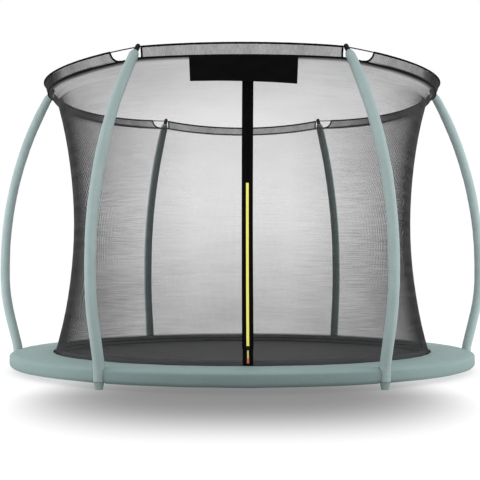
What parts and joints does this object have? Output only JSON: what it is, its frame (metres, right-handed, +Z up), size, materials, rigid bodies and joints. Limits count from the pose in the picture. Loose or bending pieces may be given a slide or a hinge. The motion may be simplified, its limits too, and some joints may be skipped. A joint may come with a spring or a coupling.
{
  "type": "trampoline",
  "caption": "Low round garden trampoline on short feet, with a padded rim, a sprung mat and an inner safety net on outward-bowed padded poles.",
  "frame": {"origin": "on the ground at the centre of the jumping mat, level with the soles of the feet", "axes": "+Z up; -Y towards the front, where the net's zipped door is; +X to the right seen from the front"},
  "size_m": [3.3606, 3.1196, 1.9332],
  "materials": {
    "galvanised_steel": "satin",
    "fastener_steel": "satin",
    "spring_steel": "satin",
    "sleeve_fabric": "matte",
    "pad_vinyl": "matte",
    "pad_foam": "matte",
    "foot_plastic": "matte",
    "cap_plastic": "matte",
    "rod_fibreglass": "matte",
    "mat_fabric": "matte",
    "black_webbing": "matte",
    "band_fabric": "matte",
    "net_mesh": "matte",
    "banner_fabric": "matte",
    "zip_yellow": "satin",
    "slider_plastic": "satin",
    "pull_strap": "matte"
  },
  "bodies": {
    "frame": {"ring_tube_front": "galvanised_steel", "ring_tube_right_front": "galvanised_steel", "ring_tube_right_back": "galvanised_steel", "ring_tube_back": "galvanised_steel", "ring_tube_left_back": "galvanised_steel", "ring_tube_left_front": "galvanised_steel", "ring_joint_front_right": "galvanised_steel", "ring_joint_right": "galvanised_steel", "ring_joint_back_right": "galvanised_steel", "ring_joint_back_left": "galvanised_steel", "ring_joint_left": "galvanised_steel", "ring_joint_front_left": "galvanised_steel", "pole_lower_front_right": "galvanised_steel", "pole_lower_right": "galvanised_steel", "pole_lower_back_right": "galvanised_steel", "pole_lower_back_left": "galvanised_steel", "pole_lower_left": "galvanised_steel", "pole_lower_front_left": "galvanised_steel", "pole_upper_front_right": "galvanised_steel", "pole_upper_right": "galvanised_steel", "pole_upper_back_right": "galvanised_steel", "pole_upper_back_left": "galvanised_steel", "pole_upper_left": "galvanised_steel", "pole_upper_front_left": "galvanised_steel", "pole_sleeve_front_right": "sleeve_fabric", "pole_sleeve_right": "sleeve_fabric", "pole_sleeve_back_right": "sleeve_fabric", "pole_sleeve_back_left": "sleeve_fabric", "pole_sleeve_left": "sleeve_fabric", "pole_sleeve_front_left": "sleeve_fabric", "pole_cap_front_right": "cap_plastic", "pole_cap_right": "cap_plastic", "pole_cap_back_right": "cap_plastic", "pole_cap_back_left": "cap_plastic", "pole_cap_left": "cap_plastic", "pole_cap_front_left": "cap_plastic", "pole_feet": "foot_plastic", "bracket_bolts": "fastener_steel", "pole_screws": "fastener_steel", "springs": "spring_steel", "pad_cover": "pad_vinyl", "pad_foam": "pad_foam", "pad_straps": "black_webbing", "rim_rods": "rod_fibreglass", "rod_ferrules": "galvanised_steel", "rod_tunnel": "band_fabric", "net_band": "band_fabric", "net_hem": "black_webbing", "net_flare": "net_mesh", "net_wall": "net_mesh", "banner": "banner_fabric", "zip_tape": "black_webbing", "zip_chain": "zip_yellow"},
    "mat": {"jumping_mat": "mat_fabric", "mat_webbing": "black_webbing", "spring_rings": "spring_steel", "net_foot_tape": "black_webbing"},
    "zip_slider": {"zip_slider": "slider_plastic"},
    "zip_pull": {"zip_pull": "pull_strap"}
  },
  "joints": [
    {"name": "mat_bounce", "type": "slide", "parent": "frame", "child": "mat", "axis": [0, 0, -1], "range_m": [0, 0.06], "stiffness_N_per_m": 9000, "springref_m": -0.012, "deforming": ["springs"]},
    {"name": "zip_slide", "type": "hinge", "parent": "frame", "child": "zip_slider", "pos_m": [0.11267, -4.30253, 0.95], "axis": [0.9997, 0.0262, 0], "range_deg": [0, 16.6]},
    {"name": "pull_swing", "type": "hinge", "parent": "zip_slider", "child": "zip_pull", "pos_m": [0.03282, -1.25351, 0.20161], "axis": [-0.9997, -0.0262, 0], "range_deg": [0, 140]}
  ]
}
